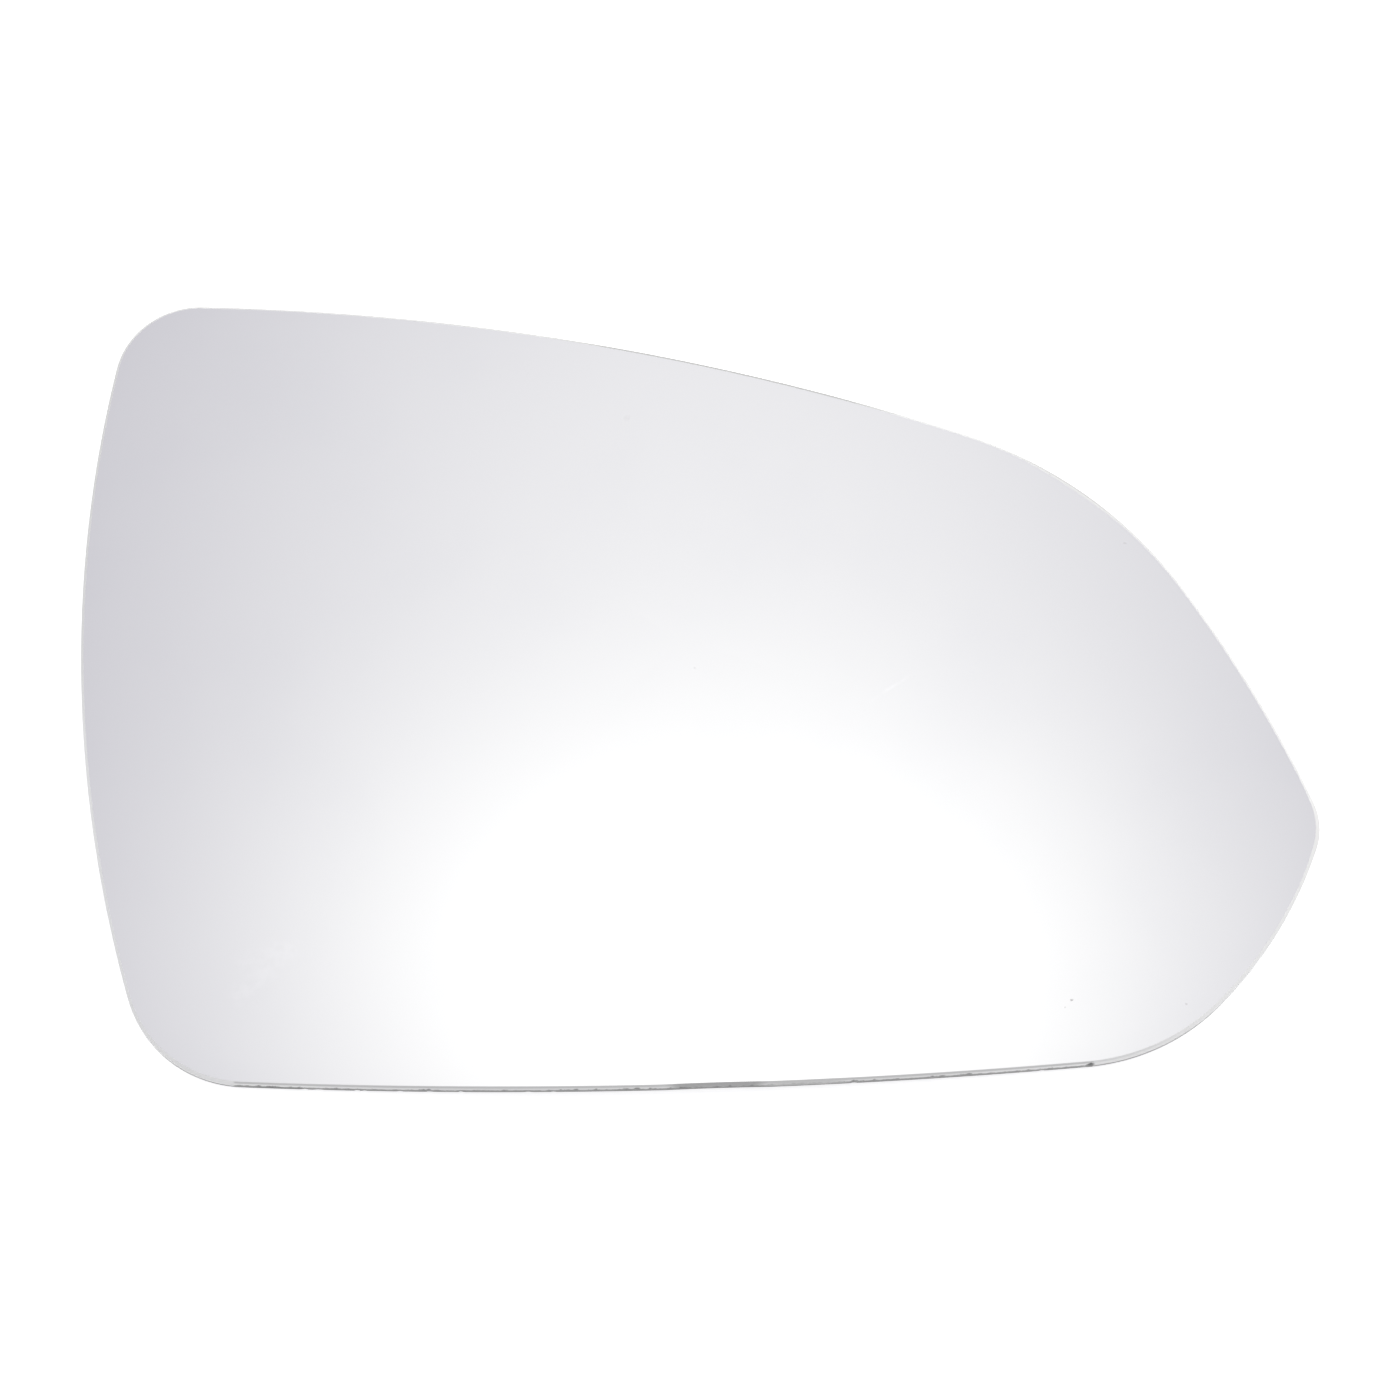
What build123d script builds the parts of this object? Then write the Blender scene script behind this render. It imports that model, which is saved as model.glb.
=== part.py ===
"""Car door mirror glass: one bare sheet of convex mirror glass, lying face up on its rim.

Millimetres. +X runs along the glass to its narrow tip, +Y to its upper edge as it sits on the car,
+Z out of the mirror face. The lowest points of the rim lie on Z = 0.
"""

import os

from build123d import *

os.makedirs("parts", exist_ok=True)

# The sheet
glass_thickness = 1.8
convex_radius = 1300.0
front_arris = 0.45
rear_arris = 0.25

# The highest point of the mirror face, seen from above
pole_x = -2.0
pole_y = 6.3

# Where the five sides would meet if the corners were sharp
tip_x = 93.5
tip_y = -21.3
shoulder_x = 59.5
shoulder_y = 33.8
upper_left_x = -86.8
upper_left_y = 63.2
lower_left_x = -79.5
lower_left_y = -60.9
lower_right_x = 66.8
lower_right_y = -57.7

# How far the middle of each side swells beyond the straight line between its corners
slope_bow = 2.7
top_bow = 6.5
left_bow = 9.3
bottom_bow = 3.3
flank_bow = 4.0

# The radii that round the corners
tip_radius = 10.0
shoulder_radius = 65.0
upper_left_radius = 12.5
lower_left_radius = 19.0
lower_right_radius = 32.5

tip = (tip_x, tip_y)
shoulder = (shoulder_x, shoulder_y)
upper_left = (upper_left_x, upper_left_y)
lower_left = (lower_left_x, lower_left_y)
lower_right = (lower_right_x, lower_right_y)

# The cut outline: five bowed sides, each corner rounded by its own radius
with BuildSketch() as outline:
    with BuildLine():
        SagittaArc(tip, shoulder, -slope_bow)
        SagittaArc(shoulder, upper_left, -top_bow)
        SagittaArc(upper_left, lower_left, -left_bow)
        SagittaArc(lower_left, lower_right, -bottom_bow)
        SagittaArc(lower_right, tip, -flank_bow)
    make_face()
    fillet(outline.vertices().sort_by_distance(tip)[0], tip_radius)
    fillet(outline.vertices().sort_by_distance(shoulder)[0], shoulder_radius)
    fillet(outline.vertices().sort_by_distance(upper_left)[0], upper_left_radius)
    fillet(outline.vertices().sort_by_distance(lower_left)[0], lower_left_radius)
    fillet(outline.vertices().sort_by_distance(lower_right)[0], lower_right_radius)

# The blank is deeper than the bent sheet by one thickness. The sheet's highest point is first set at Z = 0.
half_diagonal = outline.sketch.bounding_box().diagonal / 2
dome_drop = convex_radius - (convex_radius**2 - half_diagonal**2) ** 0.5
blank_depth = dome_drop + 2 * glass_thickness
back_radius = convex_radius - glass_thickness

# The bent sheet lies between two spheres about one centre.
# The spheres lie on their sides, so that neither of their poles is on the glass.
with BuildPart() as mirror_glass:
    extrude(outline.sketch, amount=blank_depth, both=True)
    with Locations((pole_x, pole_y, -convex_radius)):
        Sphere(convex_radius, rotation=(90, 0, 0), mode=Mode.INTERSECT)
        Sphere(back_radius, rotation=(90, 0, 0), mode=Mode.SUBTRACT)
    bent_faces = mirror_glass.faces().filter_by(GeomType.SPHERE).sort_by(Axis.Z)
    front_rim = bent_faces[-1].edges()
    back_rim = bent_faces[0].edges()
    chamfer(front_rim, front_arris)
    chamfer(back_rim, rear_arris)

# The glass is set down on its rim, over the middle of its box
box = mirror_glass.part.bounding_box()
mirror_glass.part.move(Location((-box.center().X, -box.center().Y, -box.min.Z)))
mirror_glass.part.label = "mirror_glass"
export_step(mirror_glass.part, "parts/mirror_glass.step")
print("size", box.size, "volume", mirror_glass.part.volume)
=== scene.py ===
# %% [markdown]
# # A convex mirror glass for a car door
#
# The object is one bare sheet of glass, about 186 mm long. It is bent to a small part of a large sphere,
# coated so that it reflects, painted on its back and ground all round its edge. It has no frame and nothing
# that moves, so this lesson is about one thin sheet: its even curve, its edge, and the light that the mirror
# shows.

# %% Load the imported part
import math
from collections import namedtuple

import bmesh
import bpy
from mathutils import Matrix, Vector
from mathutils.geometry import intersect_sphere_sphere_2d


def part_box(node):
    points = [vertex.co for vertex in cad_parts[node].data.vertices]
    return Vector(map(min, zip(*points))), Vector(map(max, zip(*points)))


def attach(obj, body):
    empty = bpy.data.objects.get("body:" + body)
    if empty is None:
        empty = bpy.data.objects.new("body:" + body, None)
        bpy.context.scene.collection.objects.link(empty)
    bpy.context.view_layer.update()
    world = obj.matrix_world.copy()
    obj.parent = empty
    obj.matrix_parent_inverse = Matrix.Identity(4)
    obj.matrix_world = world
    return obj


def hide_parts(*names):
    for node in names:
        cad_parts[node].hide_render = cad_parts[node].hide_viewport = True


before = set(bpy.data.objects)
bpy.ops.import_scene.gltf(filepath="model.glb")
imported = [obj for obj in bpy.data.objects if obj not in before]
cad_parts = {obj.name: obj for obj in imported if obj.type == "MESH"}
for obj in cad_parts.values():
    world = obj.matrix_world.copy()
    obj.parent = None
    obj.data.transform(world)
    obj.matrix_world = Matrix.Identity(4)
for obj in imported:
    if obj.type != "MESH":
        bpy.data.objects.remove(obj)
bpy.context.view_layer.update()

# %% [markdown]
# ## The sizes of the sheet
#
# A flat mirror forgives a coarse mesh, but a curved one doesn't: each facet would show as a step in the
# reflection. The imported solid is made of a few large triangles, so a denser mesh of the same form takes its
# place. It needs the sheet's sizes again: the thickness, the radius of the bend, and the two arrises, which
# are the small slopes that a grinding wheel leaves where a sharp edge would chip.

# %% Thickness, bend and arrises
MM = 0.001
THICKNESS = 1.8 * MM
CONVEX_RADIUS = 1300.0 * MM
FRONT_ARRIS = 0.45 * MM
REAR_ARRIS = 0.25 * MM

solid_low, solid_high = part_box("mirror_glass")
print("the solid is", [round(side / MM, 2) for side in solid_high - solid_low], "mm")

# %% [markdown]
# ## The outline as ten arcs
#
# The glass has five sides that swell a little and five rounded corners. Such an outline could be drawn by
# hand with many points, but then it would wobble. Ten arcs that run smoothly into each other say the same
# with few numbers: where each corner would be if it was sharp, its rounding, and the bow of the side that
# follows it.

# %% Corners, roundings and bows
Corner = namedtuple("Corner", "x y rounding bow")
Arc = namedtuple("Arc", "centre radius start sweep")

# Millimetres, anticlockwise from the narrow tip. The pole is the highest point of the bent face.
CORNERS = {
    "tip": Corner(93.5, -21.3, rounding=10.0, bow=2.7),
    "shoulder": Corner(59.5, 33.8, rounding=65.0, bow=6.5),
    "upper left": Corner(-86.8, 63.2, rounding=12.5, bow=9.3),
    "lower left": Corner(-79.5, -60.9, rounding=19.0, bow=3.3),
    "lower right": Corner(66.8, -57.7, rounding=32.5, bow=4.0),
}
POLE = Vector((-2.0, 6.3)) * MM


def side_circle(start, end, bow):
    """The circle that a bowed side is a part of: its centre and its radius."""
    chord = end - start
    radius = (chord.length_squared / 4 + bow**2) / (2 * bow)
    outward = Vector((chord.y, -chord.x)).normalized()
    return (start + end) / 2 - outward * (radius - bow), radius


def rounding_centre(corner, before, after, rounding):
    """The centre of the arc that touches both sides of a corner from within."""
    middles = intersect_sphere_sphere_2d(before[0], before[1] - rounding, after[0], after[1] - rounding)
    return min(middles, key=lambda middle: (middle - corner).length)


def bearing(start, end):
    """The direction from one point to another, as an angle from the X axis."""
    return math.atan2(end.y - start.y, end.x - start.x)


def outline_arcs(corners):
    """The arcs of the outline in order, a corner and then the side that follows it."""
    sharp = [Vector((corner.x, corner.y)) * MM for corner in corners]
    count = len(corners)
    sides = [side_circle(sharp[i], sharp[(i + 1) % count], corners[i].bow * MM) for i in range(count)]
    roundings = [corner.rounding * MM for corner in corners]
    middles = [rounding_centre(sharp[i], sides[i - 1], sides[i], roundings[i]) for i in range(count)]
    arcs = []
    for i in range(count):
        side_middle, side_radius = sides[i]
        turn_start = bearing(sides[i - 1][0], middles[i])
        turn_end = bearing(side_middle, middles[i])
        side_end = bearing(side_middle, middles[(i + 1) % count])
        arcs.append(Arc(middles[i], roundings[i], turn_start, (turn_end - turn_start) % math.tau))
        arcs.append(Arc(side_middle, side_radius, turn_end, (side_end - turn_end) % math.tau))
    return arcs


ARCS = outline_arcs(list(CORNERS.values()))
perimeter = sum(arc.radius * arc.sweep for arc in ARCS)
print("the outline has", len(ARCS), "arcs and is", round(perimeter / MM, 1), "mm long")

# %% [markdown]
# ## A flat sheet first
#
# It is far easier to model a thing flat and to bend it last. Here a vertex's Z is only its depth below the
# mirror face. The edge has the same section everywhere, so a few connected vertices draw that section once
# for each arc, and spin carries it round the arc's centre. The steps are short, because small chips will be
# modelled in the edge, and a narrow margin of both faces belongs to the section, so that the shading stays
# true up to the rims.

# %% Spin the section of the edge round the outline
EDGE_STEP = 0.25 * MM
MERGE_REACH = EDGE_STEP / 10
MARGIN = 0.7 * MM

# How far each point of the section lies within the outline, and how deep below the mirror face
SECTION = (
    (FRONT_ARRIS + MARGIN, 0),
    (FRONT_ARRIS, 0),
    (0, FRONT_ARRIS),
    (0, THICKNESS - REAR_ARRIS),
    (REAR_ARRIS, THICKNESS),
    (REAR_ARRIS + MARGIN, THICKNESS),
)


def spin_round(sheet, section, step):
    """Carries a section round the ten arcs and joins their ends. Returns the new vertices."""
    older = set(sheet.verts)
    for arc in ARCS:
        outward = Vector((math.cos(arc.start), math.sin(arc.start), 0))
        middle = Vector((arc.centre.x, arc.centre.y, 0))
        verts = []
        for inset, depth in section:
            point = middle + outward * (arc.radius - inset) - Vector((0, 0, depth))
            verts.append(sheet.verts.new(point))
        edges = [sheet.edges.new(pair) for pair in zip(verts, verts[1:])]
        steps = math.ceil(arc.radius * arc.sweep / step)
        bmesh.ops.spin(
            sheet, geom=verts + edges, cent=middle, axis=(0, 0, 1), angle=arc.sweep, steps=steps
        )
    made = [vert for vert in sheet.verts if vert not in older]
    bmesh.ops.remove_doubles(sheet, verts=made, dist=MERGE_REACH)
    return [vert for vert in sheet.verts if vert not in older]


sheet = bmesh.new()
spin_round(sheet, SECTION, EDGE_STEP)
print("the edge has", len(sheet.faces), "faces")

# %% [markdown]
# ## The two broad faces
#
# A single many-sided face would fill each rim, but it couldn't bend. So a turn with longer steps is drawn
# inside each margin, triangle_fill closes the narrow gap between them, and the turn is extruded inwards
# again and again, each time scaled towards the pole, until the last ring is merged to one point there.

# %% Fill both margins with rings
RING_INSET = 4.0 * MM
RING_STEP = 2.0 * MM
RING_COUNT = 12

# Two depths closer than this are the same
TINY = 0.001 * MM


def at_depth(vert, depth):
    """Whether a vertex of the flat sheet lies at this depth below the mirror face."""
    return abs(vert.co.z + depth) < TINY


def fill_face(sheet, depth):
    """Fills the margin at one depth with rings that close to a point at the pole."""
    margin = [edge for edge in sheet.edges if edge.is_boundary and at_depth(edge.verts[0], depth)]
    turn_verts = set(spin_round(sheet, ((RING_INSET, depth),), RING_STEP))
    turn = [edge for edge in sheet.edges if turn_verts.issuperset(edge.verts)]
    bmesh.ops.triangle_fill(sheet, use_beauty=True, edges=margin + turn, normal=(0, 0, 1))
    to_pole = Matrix.Translation((-POLE.x, -POLE.y, 0))
    for left in range(RING_COUNT, 0, -1):
        made = bmesh.ops.extrude_edge_only(sheet, edges=turn)["geom"]
        ring = [item for item in made if isinstance(item, bmesh.types.BMVert)]
        share = (left - 1) / left
        bmesh.ops.scale(sheet, vec=(share, share, 1), space=to_pole, verts=ring)
        ring_verts = set(ring)
        edges = [item for item in made if isinstance(item, bmesh.types.BMEdge)]
        turn = [edge for edge in edges if ring_verts.issuperset(edge.verts)]
    bmesh.ops.pointmerge(sheet, verts=ring, merge_co=(POLE.x, POLE.y, -depth))


fill_face(sheet, 0)
fill_face(sheet, THICKNESS)
bmesh.ops.recalc_face_normals(sheet, faces=sheet.faces)
print("the flat sheet has", len(sheet.faces), "faces")

# %% [markdown]
# ## Sharp rims
#
# Grinding leaves four crisp lines round the edge: two at each arris. Smooth shading would round them off, so
# their edges are marked as sharp. On the flat sheet only these lines have an angle between their faces.

# %% Mark the four rims of the edge as sharp
SHARP_ANGLE = math.radians(20)

rims = [edge for edge in sheet.edges if edge.calc_face_angle() > SHARP_ANGLE]
for edge in rims:
    edge.smooth = False
print("sharp edges:", len(rims), "open edges:", sum(edge.is_boundary for edge in sheet.edges))

# %% [markdown]
# ## Three finishes on one sheet
#
# The sheet is one piece with three surfaces: the coated face, the ground edge and the painted back. While it
# is still flat, a face's depth alone says which of them it belongs to, so the material numbers are given now.

# %% Give each face its finish number
COATED_FACE, GROUND_EDGE, PAINTED_BACK = range(3)

for face in sheet.faces:
    face.smooth = True
    depths = [-vert.co.z for vert in face.verts]
    if max(depths) < TINY:
        face.material_index = COATED_FACE
    elif min(depths) > THICKNESS - TINY:
        face.material_index = PAINTED_BACK
    else:
        face.material_index = GROUND_EDGE
finishes = [face.material_index for face in sheet.faces]
print("faces of the coat, edge and back:", [finishes.count(number) for number in range(3)])

# %% [markdown]
# ## Small chips along the lower edge
#
# A cut edge that was handled has tiny shell-shaped chips, and one long stretch is worn. They are moved
# vertices, not a texture: around each chip the foot of the wall rises and the back rim draws in, most at the
# chip's middle.

# %% Chip the lower edge
Chip = namedtuple("Chip", "x width height")

# Millimetres along the lower side. The widest is the worn stretch.
CHIPS = (
    Chip(-57.3, width=1.0, height=0.3),
    Chip(-55.2, width=1.6, height=0.2),
    Chip(-49.6, width=0.9, height=0.35),
    Chip(-48.5, width=0.8, height=0.2),
    Chip(-43.4, width=0.9, height=0.3),
    Chip(-39.0, width=1.1, height=0.2),
    Chip(-34.4, width=0.8, height=0.35),
    Chip(-24.6, width=1.2, height=0.25),
    Chip(-20.9, width=0.8, height=0.2),
    Chip(3.0, width=15.0, height=0.35),
    Chip(23.0, width=1.0, height=0.3),
    Chip(50.6, width=0.9, height=0.25),
)
LOWER_SIDE = -45.0 * MM


def chip_edge(rims):
    """Lifts the foot of the wall and draws the back rim in around each chip. Returns the number of moves."""
    moves = 0
    lower = {vert for edge in rims for vert in edge.verts if vert.co.y < LOWER_SIDE}
    foot = {vert for vert in lower if at_depth(vert, THICKNESS - REAR_ARRIS)}
    rim = {vert for vert in lower if at_depth(vert, THICKNESS)}
    for chip in CHIPS:
        for vert in foot | rim:
            away = abs(vert.co.x / MM - chip.x) / (chip.width / 2)
            if away < 1:
                bite = chip.height * MM * (1 - away**2)
                vert.co += Vector((0, 0, bite)) if vert in foot else Vector((0, bite, 0))
                moves += 1
    return moves


print("vertices moved for chips:", chip_edge(rims))

# %% [markdown]
# ## A broader arris in three places
#
# Where the glass is turned in the hand, the wheel stays longer on the edge and takes more off. So the front
# arris is broader on the shoulder and at the tip, and a little broader where the lower edge is worn: there
# the rim of the mirror face is drawn towards the pole.

# %% Broaden the arris
Broad = namedtuple("Broad", "x y reach extra")

# Millimetres: the middle of each broad stretch, its reach to both sides and the extra width of the arris
BROAD_STRETCHES = (
    Broad(57.5, 31.0, reach=12.0, extra=0.3),
    Broad(92.8, -22.0, reach=9.0, extra=0.22),
    Broad(3.0, -62.0, reach=10.0, extra=0.09),
)


def broaden_arris(rims):
    """Draws the front rim in around each broad stretch, most in its middle. Returns the number of moves."""
    moves = 0
    front = {vert for edge in rims for vert in edge.verts if at_depth(vert, 0)}
    for stretch in BROAD_STRETCHES:
        middle = Vector((stretch.x, stretch.y)) * MM
        for vert in front:
            away = (vert.co.xy - middle).length / (stretch.reach * MM)
            if away < 1:
                inwards = (POLE - vert.co.xy).normalized()
                vert.co.xy += inwards * stretch.extra * MM * (1 - away**2) ** 2
                moves += 1
    return moves


print("vertices moved for the broad arris:", broaden_arris(rims))

# %% [markdown]
# ## Bend the sheet
#
# The real sheet is heated until it sinks onto a round mould. Here each vertex keeps its depth in the glass,
# and its height becomes that of a sphere about one common centre: a smaller sphere the deeper the vertex
# lies. The sheet is then moved over the middle of the solid's box and set down on its rim, so that both share
# one place.

# %% Bend the flat sheet to the sphere
for vert in sheet.verts:
    radius = CONVEX_RADIUS + vert.co.z
    reach = (vert.co.xy - POLE).length
    vert.co.z = math.sqrt(radius**2 - reach**2) - CONVEX_RADIUS

sheet_low = Vector(min(vert.co[axis] for vert in sheet.verts) for axis in range(3))
sheet_high = Vector(max(vert.co[axis] for vert in sheet.verts) for axis in range(3))
to_place = (solid_low + solid_high - sheet_low - sheet_high) / 2
to_place.z = solid_low.z - sheet_low.z
bmesh.ops.translate(sheet, vec=to_place, verts=sheet.verts)
sphere_centre = to_place + Vector((POLE.x, POLE.y, -CONVEX_RADIUS))
print("moved by", [round(part / MM, 4) for part in to_place], "mm")

# %% [markdown]
# ## From mesh to piece
#
# Some operators add their faces in another order each run, so the faces are first sorted by their corners.
# The mesh then becomes one object, which stays at the origin because its place is already in its vertices.
# It could be shown beside the imported solid, but two sheets in one place would flicker. So it rides the
# part's one body and replaces the solid in the picture.

# %% Make the piece and hang it on the frame
def face_number(face):
    """A number of its own for each face, from the three corners that come first."""
    first, second, third = sorted(vert.index for vert in face.verts)[:3]
    return (first * len(sheet.verts) + second) * len(sheet.verts) + third


sheet.verts.index_update()
sheet.faces.sort(key=face_number)
mesh = bpy.data.meshes.new("convex_mirror_sheet")
sheet.to_mesh(mesh)
sheet.free()
mirror_sheet = bpy.data.objects.new("convex_mirror_sheet", mesh)
bpy.context.scene.collection.objects.link(mirror_sheet)
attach(mirror_sheet, "root")
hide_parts("mirror_glass")
print("the piece has", len(mesh.vertices), "vertices and", len(mesh.polygons), "faces")

# %% [markdown]
# ## Writing materials as sums
#
# A material is a tree of nodes. Wiring each node by hand makes long code, so two small classes help: Nodes
# adds any kind of node with its settings and inputs, and Value is one output of a node. Sums written with
# values, such as 1 - mask, add the Math nodes by themselves.

# %% Two small classes for node trees
class Nodes:
    """A node tree that any kind of node can be added to."""

    def __init__(self, tree):
        self.tree = tree
        tree.nodes.clear()

    def add(self, kind, settings=None, sockets=None, output=0):
        node = self.tree.nodes.new("ShaderNode" + kind)
        for name, setting in (settings or {}).items():
            setattr(node, name, setting)
        for name, value in (sockets or {}).items():
            if isinstance(value, Value):
                self.tree.links.new(value.socket, node.inputs[name])
            else:
                node.inputs[name].default_value = value
        return Value(self, node.outputs[output]) if node.outputs else None

    def math(self, operation, first, second=0.0):
        return self.add("Math", {"operation": operation}, {0: first, 1: second})


class Value:
    """One output of a node. Python's operators on it add Math nodes."""

    def __init__(self, nodes, socket):
        self.nodes = nodes
        self.socket = socket

    def __add__(self, other):
        return self.nodes.math("ADD", self, other)

    def __radd__(self, other):
        return self.nodes.math("ADD", other, self)

    def __sub__(self, other):
        return self.nodes.math("SUBTRACT", self, other)

    def __rsub__(self, other):
        return self.nodes.math("SUBTRACT", other, self)

    def __mul__(self, other):
        return self.nodes.math("MULTIPLY", self, other)

    def __rmul__(self, other):
        return self.nodes.math("MULTIPLY", other, self)

    def __truediv__(self, other):
        return self.nodes.math("DIVIDE", self, other)


# %% Helpers for finishes
def new_finish(name):
    """An empty material and its nodes."""
    material = bpy.data.materials.new(name)
    material.use_nodes = True
    return material, Nodes(material.node_tree)


def rise(nodes, value, low, high):
    """A soft step from 0 at low to 1 at high."""
    settings = {"interpolation_type": "SMOOTHSTEP"}
    return nodes.add("MapRange", settings, {"Value": value, "From Min": low, "From Max": high})


def noise(nodes, where, scale, detail=2.0):
    """An uneven value about one half. The scale is in waves for each metre."""
    return nodes.add("TexNoise", {}, {"Vector": where, "Scale": scale, "Detail": detail}, "Fac")


def blend(nodes, share, first, second, way="MIX"):
    """A colour between two colours, or another way to join them."""
    settings = {"data_type": "RGBA", "blend_type": way}
    return nodes.add("Mix", settings, {0: share, 6: first, 7: second}, 2)


def distance(nodes, where, point):
    """How far the shaded point is from a fixed one, in metres."""
    return nodes.add("VectorMath", {"operation": "DISTANCE"}, {0: where, 1: point}, "Value")


def finish_with(nodes, **sockets):
    """Ends a material with one Principled shader."""
    named = {name.replace("_", " ").title(): value for name, value in sockets.items()}
    shader = nodes.add("BsdfPrincipled", {}, named)
    nodes.add("OutputMaterial", {}, {"Surface": shader})


def put_on(material):
    """Gives the sheet its next finish."""
    mesh.materials.append(material)
    print("finish", material.name, "has", len(material.node_tree.nodes), "nodes")


# %% [markdown]
# ## The mirror coat
#
# The coat is a thin film of metal, so the shader is fully metallic and almost without roughness. A perfect
# mirror looks false, so a faint film dulls it here and there, a few wiped streaks are a little brighter, and
# a few grains of dust lie on it. The film is a soft step of noise. Each grain is a soft step of the distance
# from its place, and each streak one of the distance from its line.

# %% Mirror coat with a faint film, wiped streaks and dust
SILVER = (0.925, 0.925, 0.925, 1)
DULLED_SILVER = (0.91, 0.911, 0.915, 1)
DUST = (0.42, 0.41, 0.4, 1)

# A step is a pair of values: where something begins, and where it is complete.
FILM_SCALE = 38.0
FILM_STEP = (0.45, 0.75)
COAT_ROUGHNESS = 0.012
FILM_ROUGHNESS = 0.018

Grain = namedtuple("Grain", "x y radius strength")

# Millimetres on the face
GRAINS = (
    Grain(55.05, -49.1, radius=0.3, strength=0.6),
    Grain(54.0, -50.25, radius=0.2, strength=0.2),
    Grain(72.05, -49.45, radius=0.3, strength=0.25),
    Grain(-0.3, 2.0, radius=0.3, strength=0.12),
    Grain(-10.6, 42.8, radius=0.7, strength=0.06),
    Grain(64.8, 22.8, radius=0.35, strength=0.15),
)
GRAIN_CORE = 0.3
GRAIN_NOISE_SCALE = 2600.0
GRAIN_RAGGEDNESS = 0.5 * MM
DUST_COVER = 0.6
DUST_ROUGHNESS = 0.4

Streak = namedtuple("Streak", "x y run climb width strength")

# Millimetres: where a wiped streak starts, how far it runs along X and climbs along Y, and its width
STREAKS = (
    Streak(-68.8, -49.8, run=10.6, climb=10.0, width=5.0, strength=0.7),
    Streak(-68.6, -43.9, run=8.4, climb=3.6, width=4.0, strength=0.5),
    Streak(25.4, -3.6, run=7.0, climb=5.0, width=0.9, strength=0.9),
)
WIPED_SILVER = (0.955, 0.955, 0.957, 1)
STREAK_NOISE_SCALE = 700.0
STREAK_NOISE_STEP = (0.3, 0.65)
STREAK_SOFTNESS = 2.0


def wiped_streak(nodes, where, streak):
    """1 along the middle of a streak and 0 beyond its width, with soft ends."""
    length = math.hypot(streak.run, streak.climb)
    x = nodes.add("SeparateXYZ", {}, {0: where}, "X") / MM - streak.x
    y = nodes.add("SeparateXYZ", {}, {0: where}, "Y") / MM - streak.y
    ahead = (x * streak.run + y * streak.climb) / length
    aside = nodes.math("ABSOLUTE", (x * streak.climb - y * streak.run) / length)
    begun = rise(nodes, ahead, 0.0, STREAK_SOFTNESS)
    going_on = rise(nodes, ahead, length, length - STREAK_SOFTNESS)
    return begun * going_on * rise(nodes, aside, streak.width / 2, 0.0)


def on_face(x, y):
    """The point of the mirror face above a place of the frame."""
    reach_squared = (x - sphere_centre.x) ** 2 + (y - sphere_centre.y) ** 2
    return Vector((x, y, sphere_centre.z + math.sqrt(CONVEX_RADIUS**2 - reach_squared)))


def mirror_coat():
    material, nodes = new_finish("mirror_coat")
    where = nodes.add("TexCoord", {}, {}, "Object")
    film = rise(nodes, noise(nodes, where, FILM_SCALE, detail=4.0), *FILM_STEP)
    ragged = (noise(nodes, where, GRAIN_NOISE_SCALE) - 0.5) * GRAIN_RAGGEDNESS
    dust = 0.0
    for grain in GRAINS:
        radius = grain.radius * MM
        away = distance(nodes, where, on_face(grain.x * MM, grain.y * MM)) + ragged
        dust = rise(nodes, away, radius, GRAIN_CORE * radius) * grain.strength + dust
    wiped = 0.0
    for streak in STREAKS:
        wiped = wiped_streak(nodes, where, streak) * streak.strength + wiped
    patchy = rise(nodes, noise(nodes, where, STREAK_NOISE_SCALE, detail=3.0), *STREAK_NOISE_STEP)
    silver = blend(nodes, film, SILVER, DULLED_SILVER)
    silver = blend(nodes, wiped * patchy, silver, WIPED_SILVER)
    finish_with(
        nodes,
        base_color=blend(nodes, dust, silver, DUST),
        metallic=1 - dust * DUST_COVER,
        roughness=COAT_ROUGHNESS + film * FILM_ROUGHNESS + dust * DUST_ROUGHNESS,
    )
    return material


put_on(mirror_coat())

# %% [markdown]
# ## Where a point lies on the edge
#
# The edge is one narrow band round the glass, and its tone changes from stretch to stretch. Each part of it
# could be a material of its own, but then the tones would meet in hard lines. So one material asks each point
# how far along and across the glass it lies, and how deep in the sheet. The depth is measured from the
# sphere's centre, so it follows the bent rim by itself.

# %% Places, sides and stretches of the edge
Place = namedtuple("Place", "along across depth")
Sides = namedtuple("Sides", "lower upper right")
Stretch = namedtuple("Stretch", "start end soft tone")
Band = namedtuple("Band", "start full fading end")

# Steps across and along the glass, in millimetres
LOWER_STEP = (-44.0, -50.0)
UPPER_STEP = (-10.0, 10.0)
RIGHT_STEP = (40.0, 60.0)


def edge_place(nodes, where):
    """How far along and across the glass a point lies, and how deep in the sheet, in millimetres."""
    along = nodes.add("SeparateXYZ", {}, {0: where}, "X") / MM
    across = nodes.add("SeparateXYZ", {}, {0: where}, "Y") / MM
    depth = (CONVEX_RADIUS - distance(nodes, where, sphere_centre)) / MM
    return Place(along, across, depth)


def edge_sides(nodes, place):
    """How far a point belongs to the lower side, to the upper side and to the right end."""
    lower = rise(nodes, place.across, *LOWER_STEP)
    upper = rise(nodes, place.across, *UPPER_STEP)
    return Sides(lower, upper, rise(nodes, place.along, *RIGHT_STEP))


def within(nodes, along, part):
    """1 within a stretch of the edge and 0 beyond it, with soft ends."""
    begun = rise(nodes, along, part.start - part.soft, part.start + part.soft)
    return begun * rise(nodes, along, part.end + part.soft, part.end - part.soft)


def between(nodes, depth, band):
    """1 between two depths and 0 above and below them, with soft ends."""
    return rise(nodes, depth, band.start, band.full) * rise(nodes, depth, band.end, band.fading)


def toned(share, tone, other):
    """A tone between two tones."""
    return tone + share * (other - tone)
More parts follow.
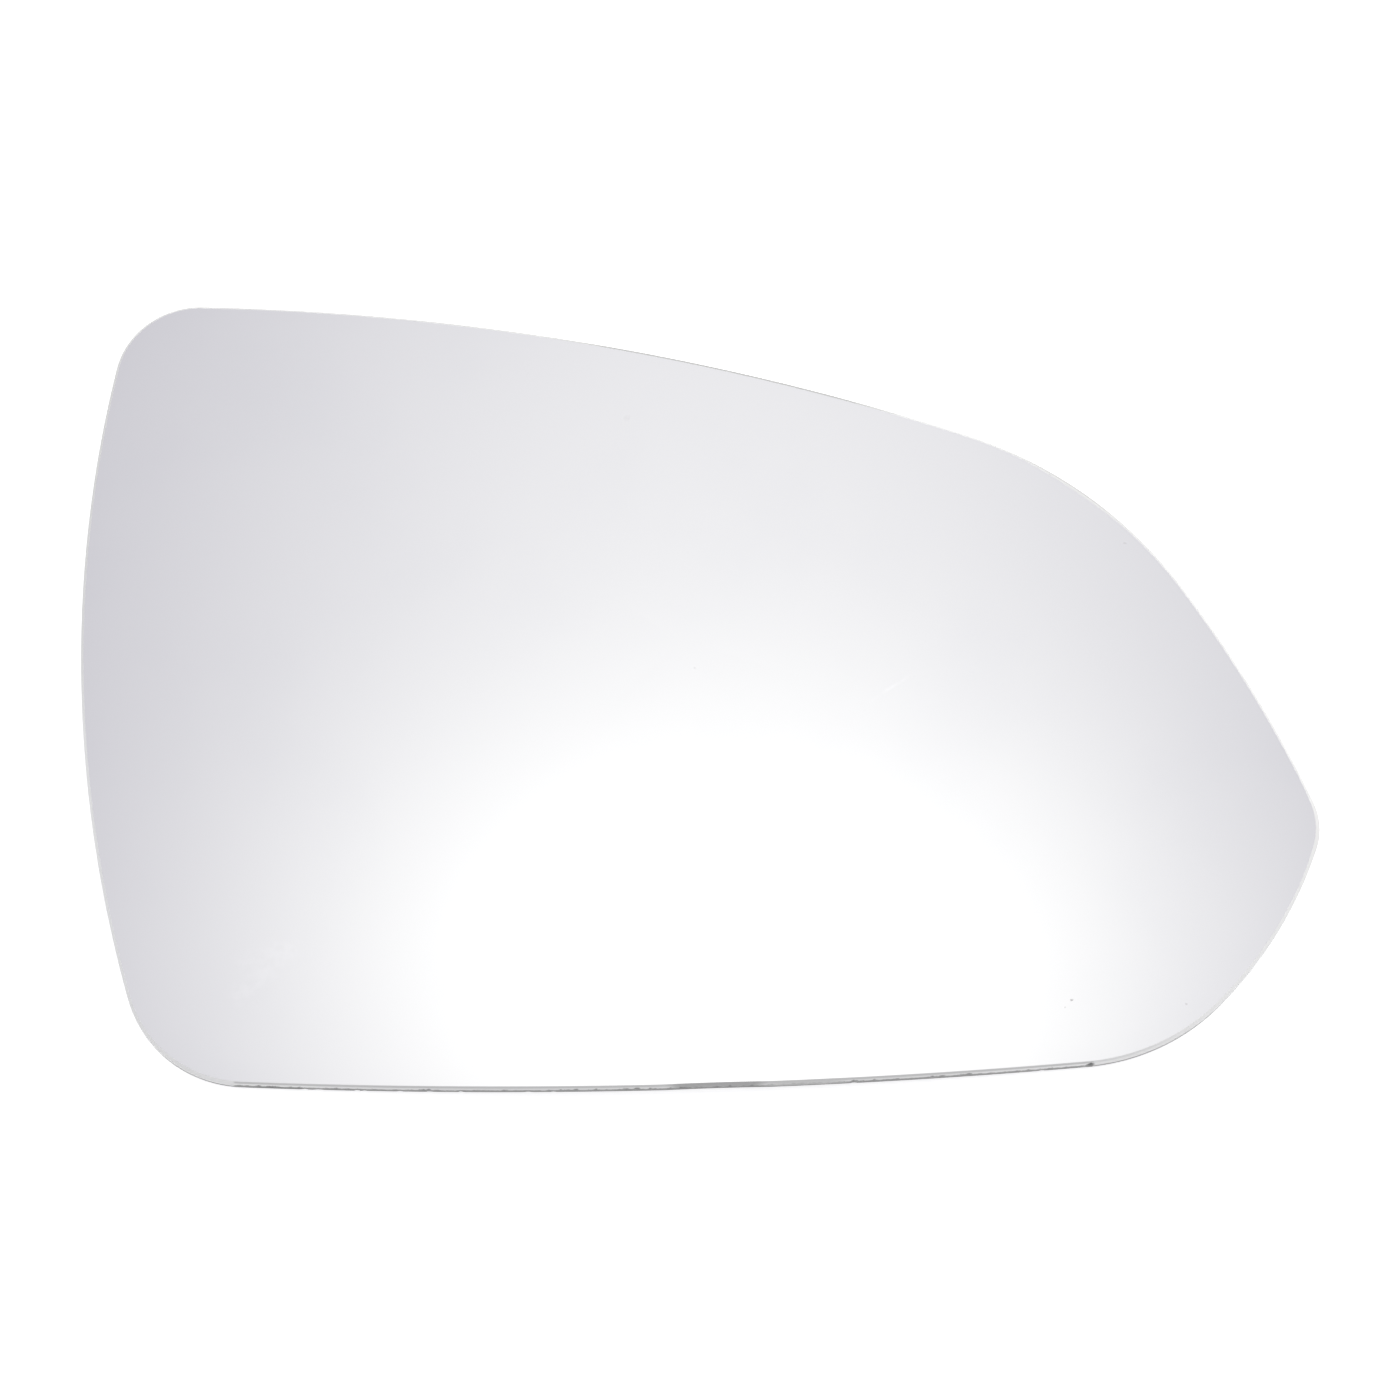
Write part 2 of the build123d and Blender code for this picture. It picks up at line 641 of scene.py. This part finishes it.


# %% [markdown]
# ## The tones of the ground glass
#
# Ground glass is matt and pale. Painted shade darkens the upper wall, and stretches of the upper arris carry
# painted shade and a painted dark reflection. On the lower side painted shade makes a broad stretch a little
# darker, a dark line runs just below the rim, one stretch carries a painted dark reflection and another is
# rubbed. Each of them is laid over the last one by its own share, as thin coats of paint would be.

# %% Tone of the edge, stretch by stretch
# Stretches are in millimetres along the glass, and bands in millimetres of depth.
# A tone is 0 for black and 1 for white.
GROUND_GLASS = 0.88
PATCH_CONTRAST = 0.06
# Painted shade: the upper wall is given a darker tone to offset the lamp's light on that side
SHADED_UPPER_WALL = 0.74
UPPER_WALL_STEP = (0.5, 0.65)
# Painted shade and a painted dark reflection on stretches of the upper arris, as tones along the glass
UPPER_ARRIS_SHADE = (
    Stretch(-95.0, -18.0, soft=6.0, tone=0.76),
    Stretch(-18.0, 28.0, soft=7.0, tone=0.5),
    Stretch(46.0, 68.0, soft=5.0, tone=0.79),
)
SHADED_RIM = Stretch(49.0, 64.0, soft=4.0, tone=0.5)
SHADED_BAND = Band(start=0.31, full=0.39, fading=0.48, end=0.56)
# Painted shade: a broad stretch of the lower side is a little darker
LOWER_SIDE_SHADE = Stretch(-48.0, 42.0, soft=15.0, tone=0.79)
RUBBED = Stretch(10.5, 21.0, soft=2.0, tone=0.64)
# Painted dark reflection in the middle of the lower edge, streaked by the grinding lines
DARK_REFLECTION = Stretch(-3.5, 9.6, soft=1.3, tone=0.4)
DARK_REFLECTION_COVER = 0.7
DARK_REFLECTION_LINES = 0.4
RIM_LINE = Stretch(-67.7, 58.2, soft=0.3, tone=0.61)
RIM_LINE_BAND = Band(start=0.01, full=0.1, fading=0.21, end=0.31)
RIM_LINE_END = (75.0, 64.0)
RIM_LINE_END_SHARE = 0.4


def rim_line(nodes, place, sides):
    """The dark line below the lower rim. It runs on round the right corner, but fainter."""
    full = within(nodes, place.along, RIM_LINE) * sides.lower
    faint = sides.right * rise(nodes, place.along, *RIM_LINE_END) * RIM_LINE_END_SHARE
    share = nodes.math("MAXIMUM", full, faint)
    return between(nodes, place.depth, RIM_LINE_BAND) * sides.lower * share


def edge_tone(nodes, place, sides, patches, lines):
    """The tone of the ground glass with its painted shade, its painted dark reflection and its rubbed
    stretch.
    """
    along = place.along
    upper_wall = sides.upper * rise(nodes, place.depth, *UPPER_WALL_STEP)
    upper_arris = sides.upper - upper_wall
    # Painted shade: the upper wall is darker than the rest of the ground glass
    tone = toned(upper_wall, GROUND_GLASS, SHADED_UPPER_WALL) + (patches - 0.5) * PATCH_CONTRAST
    # Painted shade: darker stretches of the upper arris
    for part in UPPER_ARRIS_SHADE:
        tone = toned(within(nodes, along, part) * upper_arris, tone, part.tone)
    shaded = within(nodes, along, SHADED_RIM) * sides.upper * between(nodes, place.depth, SHADED_BAND)
    tone = toned(shaded, tone, SHADED_RIM.tone)
    # Painted shade on a broad stretch of the lower side
    tone = toned(within(nodes, along, LOWER_SIDE_SHADE) * sides.lower, tone, LOWER_SIDE_SHADE.tone)
    tone = toned(within(nodes, along, RUBBED) * sides.lower, tone, RUBBED.tone)
    tone = toned(rim_line(nodes, place, sides), tone, RIM_LINE.tone)
    # Painted dark reflection in the middle of the lower edge
    dark_reflection = within(nodes, along, DARK_REFLECTION) * sides.lower * (DARK_REFLECTION_COVER + lines * DARK_REFLECTION_LINES)
    return toned(dark_reflection, tone, DARK_REFLECTION.tone)


# %% [markdown]
# ## Overspray
#
# When the back is painted, some spray lands on the edge. On the lower side it covers most of the wall with a
# ragged upper line. It is thin where the edge was rubbed and thicker near both ends, and at the right one it
# climbs. Beyond both ends only the foot of the wall is dark. Noise added to the depth makes the line ragged.

# %% Overspray on the lower side
# Ends and steps along the glass, depths and heights are in millimetres. A cover is 1 where no glass shows.
SPRAYED = Stretch(-67.7, 58.2, soft=0.3, tone=0.18)
THICK_SPRAY = Stretch(-64.5, -57.0, soft=1.5, tone=0.09)
SPRAY_TOP = (0.42, 0.58)
SPRAY_COVER = 0.8
SPRAY_CLOUDS = 0.5
SPRAY_RUBBED_OFF = 0.65
CLIMB_STEP = (56.8, 57.8)
CLIMB_HEIGHT = 0.32
CLIMB_COVER = 0.25
FOOT_LEFT_END = (-82.0, -76.0)
FOOT_RIGHT_END = (84.0, 72.0)
FOOT_TOP = (1.02, 1.18)
FOOT_RAGGEDNESS = 0.3
FOOT_CLIMB = 0.2
FOOT_COVER = 0.85
FOOT_COVER_RIGHT = 0.7


def overspray(nodes, place, sides, ragged):
    """How dark the edge is made: a wide ragged spray of paint, or a thin dark line along the foot of the
    wall.
    """
    along = place.along
    climbing = rise(nodes, along, *CLIMB_STEP)
    sprayed = within(nodes, along, SPRAYED) * sides.lower
    wide = rise(nodes, place.depth + ragged + climbing * CLIMB_HEIGHT, *SPRAY_TOP) * sprayed
    left_on = 1 - within(nodes, along, RUBBED) * sides.lower * SPRAY_RUBBED_OFF
    wide = wide * (SPRAY_COVER + ragged * SPRAY_CLOUDS + climbing * CLIMB_COVER) * left_on
    foot_ends = rise(nodes, along, *FOOT_LEFT_END) * rise(nodes, along, *FOOT_RIGHT_END)
    foot_depth = place.depth + ragged * FOOT_RAGGEDNESS + sides.right * FOOT_CLIMB
    foot = rise(nodes, foot_depth, *FOOT_TOP) * sides.lower * foot_ends
    return nodes.math("MAXIMUM", wide, foot * toned(sides.right, FOOT_COVER, FOOT_COVER_RIGHT))


# %% [markdown]
# ## The ground edge
#
# The finish joins the tones and the spray. The wheel also leaves fine lines along its way and a grain of
# pits. They are too fine to model, so they are a bump: noise that is drawn out along the edge for the lines,
# and even noise for the grain.

# %% Ground edge with grinding lines
GLASS_TINT = (0.997, 1.0, 1.0, 1)
BLACK = (0, 0, 0, 1)

# Waves for each metre, along X, Y and Z for the lines
LINE_SCALES = (160.0, 160.0, 9000.0)
GRIT_SCALE = 5200.0
RAGGED_SCALE = 900.0
PATCH_SCALE = 260.0

SPRAY_GRAIN = 0.05
LINE_HEIGHT = 0.6
GRIT_HEIGHT = 0.4
EDGE_BUMP_STRENGTH = 0.25
EDGE_BUMP_DISTANCE = 0.03 * MM
EDGE_ROUGHNESS = 0.34
LINE_ROUGHNESS = 0.2
SPRAY_ROUGHNESS = 0.15


def ground_edge():
    material, nodes = new_finish("ground_edge")
    where = nodes.add("TexCoord", {}, {}, "Object")
    place = edge_place(nodes, where)
    sides = edge_sides(nodes, place)
    drawn_out = nodes.add("Mapping", {}, {"Vector": where, "Scale": LINE_SCALES})
    lines = noise(nodes, drawn_out, 1.0, detail=3.0)
    grit = noise(nodes, where, GRIT_SCALE)
    ragged = noise(nodes, where, RAGGED_SCALE, detail=4.0) - 0.5
    patches = noise(nodes, where, PATCH_SCALE)
    spray = overspray(nodes, place, sides, ragged)
    tone = edge_tone(nodes, place, sides, patches, lines)
    spray_tone = toned(within(nodes, place.along, THICK_SPRAY), SPRAYED.tone, THICK_SPRAY.tone)
    tone = toned(spray, tone, spray_tone + grit * SPRAY_GRAIN)
    relief = nodes.add(
        "Bump",
        {},
        {
            "Strength": EDGE_BUMP_STRENGTH,
            "Distance": EDGE_BUMP_DISTANCE,
            "Height": lines * LINE_HEIGHT + grit * GRIT_HEIGHT,
        },
        "Normal",
    )
    finish_with(
        nodes,
        base_color=blend(nodes, tone, BLACK, GLASS_TINT),
        roughness=EDGE_ROUGHNESS + lines * LINE_ROUGHNESS + spray * SPRAY_ROUGHNESS,
        normal=relief,
    )
    return material


put_on(ground_edge())

# %% [markdown]
# ## The painted back
#
# The back carries a grey paint that keeps damp off the sheet. Sprayed paint dries with a fine pebbled skin,
# which is a bump from noise, and it is a little uneven in tone.

# %% Back paint
PAINT = (0.2, 0.205, 0.21, 1)
THIN_PAINT = (0.27, 0.275, 0.28, 1)

CLOUD_SCALE = 55.0
CLOUD_SHARE = 0.7
SPECK_SCALE = 900.0
SPECK_STEP = (0.68, 0.76)
SPECK_SHARE = 0.3
PEBBLE_SCALE = 1900.0
SKIN_STRENGTH = 0.35
SKIN_DISTANCE = 0.05 * MM
PAINT_ROUGHNESS = 0.48
PEBBLE_ROUGHNESS = 0.2


def back_paint():
    material, nodes = new_finish("back_paint")
    where = nodes.add("TexCoord", {}, {}, "Object")
    clouds = noise(nodes, where, CLOUD_SCALE, detail=4.0)
    pebbles = noise(nodes, where, PEBBLE_SCALE, detail=3.0)
    specks = rise(nodes, noise(nodes, where, SPECK_SCALE), *SPECK_STEP)
    heights = {"Strength": SKIN_STRENGTH, "Distance": SKIN_DISTANCE, "Height": pebbles}
    thin = clouds * CLOUD_SHARE + specks * SPECK_SHARE
    finish_with(
        nodes,
        base_color=blend(nodes, thin, PAINT, THIN_PAINT),
        roughness=PAINT_ROUGHNESS + pebbles * PEBBLE_ROUGHNESS,
        normal=nodes.add("Bump", {}, heights, "Normal"),
    )
    return material


put_on(back_paint())

# %% [markdown]
# ## The studio that the mirror sees
#
# A mirror has no look of its own: it shows what is in front of it. Lamps and cards could stand around the
# sheet, but their edges would show in it. So the world is painted as a studio: a cool grey ceiling with a
# wide soft glow and a bright core in it, and grey walls that fade to a white backdrop at the horizon. A
# direction's X and Y over its Z place the glows as on a flat ceiling.

# %% World with two soft glows
Glow = namedtuple("Glow", "x y wide deep level")

CEILING = (0.459, 0.447, 0.516, 1)
GLOW_TINT = (0.982, 1.002, 0.902, 1)
WALLS = (0.37, 0.37, 0.38, 1)
BACKDROP = (1.0, 1.0, 1.0, 1)
GLOWS = (
    Glow(x=0.0153, y=0.4625, wide=0.336, deep=0.327, level=0.445),
    Glow(x=0.023, y=0.202, wide=0.218, deep=0.144, level=0.59),
)

# A height is a direction's Z: 0 at the horizon and 1 straight up.
LOWEST_CEILING = 0.05
WALL_STEP = (0.85, 0.65)
BACKDROP_STEP = (0.7, -0.1)


def studio_world():
    world = bpy.data.worlds.new("studio")
    world.use_nodes = True
    nodes = Nodes(world.node_tree)
    direction = nodes.add("TexCoord", {}, {}, "Generated")
    height = nodes.add("SeparateXYZ", {}, {0: direction}, "Z")
    above = nodes.math("MAXIMUM", height, LOWEST_CEILING)
    ceiling_x = nodes.add("SeparateXYZ", {}, {0: direction}, "X") / above
    ceiling_y = nodes.add("SeparateXYZ", {}, {0: direction}, "Y") / above
    light = 0.0
    for glow in GLOWS:
        sideways = (ceiling_x - glow.x) / glow.wide
        onwards = (ceiling_y - glow.y) / glow.deep
        light = nodes.math("EXPONENT", 0 - sideways * sideways - onwards * onwards) * glow.level + light
    grey_light = nodes.add("CombineColor", {}, {"Red": light, "Green": light, "Blue": light})
    glowing = blend(nodes, 1.0, grey_light, GLOW_TINT, "MULTIPLY")
    ceiling = blend(nodes, 1.0, CEILING, glowing, "ADD")
    walls = blend(nodes, rise(nodes, height, *BACKDROP_STEP), WALLS, BACKDROP)
    colour = blend(nodes, rise(nodes, height, *WALL_STEP), ceiling, walls)
    background = nodes.add("Background", {}, {"Color": colour, "Strength": 1.0})
    nodes.add("OutputWorld", {}, {"Surface": background})
    return world


bpy.context.scene.world = studio_world()
print("the studio's ceiling has", len(GLOWS), "glows")

# %% [markdown]
# ## A white floor
#
# The sheet lies on a white table. Its paint is a plain pale diffuse, and some light of its own, seen only by
# the camera and in reflections, lifts it to white without lighting the object. So it keeps the sheet's
# shadow.

# %% White floor
FLOOR_SIDE = 3.0
FLOOR_PAINT = (0.85, 0.85, 0.85, 1)
FLOOR_LIFT = 0.73


def white_floor():
    material, nodes = new_finish("white_floor")
    camera_ray = nodes.add("LightPath", {}, {}, "Is Camera Ray")
    glossy_ray = nodes.add("LightPath", {}, {}, "Is Glossy Ray")
    seen = camera_ray + glossy_ray
    paint = nodes.add("BsdfDiffuse", {}, {"Color": FLOOR_PAINT})
    lift = nodes.add("Emission", {}, {"Strength": seen * FLOOR_LIFT})
    both = nodes.add("AddShader", {}, {0: paint, 1: lift})
    nodes.add("OutputMaterial", {}, {"Surface": both})
    return material


table = bmesh.new()
bmesh.ops.create_grid(table, x_segments=1, y_segments=1, size=FLOOR_SIDE / 2)
floor_mesh = bpy.data.meshes.new("floor")
table.to_mesh(floor_mesh)
table.free()
floor_mesh.materials.append(white_floor())
floor = bpy.data.objects.new("floor", floor_mesh)
bpy.context.scene.collection.objects.link(floor)
print("the floor is", FLOOR_SIDE, "m wide")

# %% [markdown]
# ## One soft lamp
#
# The world's light comes from everywhere, so alone it would leave the edge flat. One large lamp overhead, to
# the upper right, lights the arrises on that side and gives the soft shadow. It is kept out of reflections,
# because the world already shows the mirror its light.

# %% Soft lamp overhead
LAMP_SIDE = 0.8
LAMP_PLACE = Vector((0.25, 0.3, 1.2))
LAMP_POWER = 8.0
LAMP_COLOUR = (1.0, 1.0, 0.93)

lamp_data = bpy.data.lights.new("soft_lamp", "AREA")
lamp_data.shape = "SQUARE"
lamp_data.size = LAMP_SIDE
lamp_data.energy = LAMP_POWER
lamp_data.color = LAMP_COLOUR
lamp = bpy.data.objects.new("soft_lamp", lamp_data)
lamp.location = LAMP_PLACE
lamp.rotation_euler = (-LAMP_PLACE).to_track_quat("-Z", "Y").to_euler()
lamp.visible_glossy = False
lamp.visible_camera = False
bpy.context.scene.collection.objects.link(lamp)
print("lamp of", LAMP_POWER, "W at", [round(part, 2) for part in LAMP_PLACE])

# %% [markdown]
# ## Camera
#
# The camera looks steeply down on the sheet with a long lens, so that the outline is hardly drawn together
# towards its far side. The view transform is Standard, which shows colours as they are written.

# %% Camera and view
VIEW_ELEVATION = math.radians(70)
VIEW_DISTANCE = 0.8
VIEW_TARGET = Vector((0.51 * MM, -3.1 * MM, sphere_centre.z + CONVEX_RADIUS))
VIEW_LENS = 137.72
SENSOR_WIDTH = 36.0

camera_data = bpy.data.cameras.new("camera")
camera_data.lens = VIEW_LENS
camera_data.sensor_width = SENSOR_WIDTH
camera = bpy.data.objects.new("camera", camera_data)
backwards = Vector((0, -math.cos(VIEW_ELEVATION), math.sin(VIEW_ELEVATION)))
camera.location = VIEW_TARGET + backwards * VIEW_DISTANCE
camera.rotation_euler = (math.pi / 2 - VIEW_ELEVATION, 0, 0)
bpy.context.scene.collection.objects.link(camera)
bpy.context.scene.camera = camera
bpy.context.scene.view_settings.view_transform = "Standard"
print("camera at", [round(part, 4) for part in camera.location])
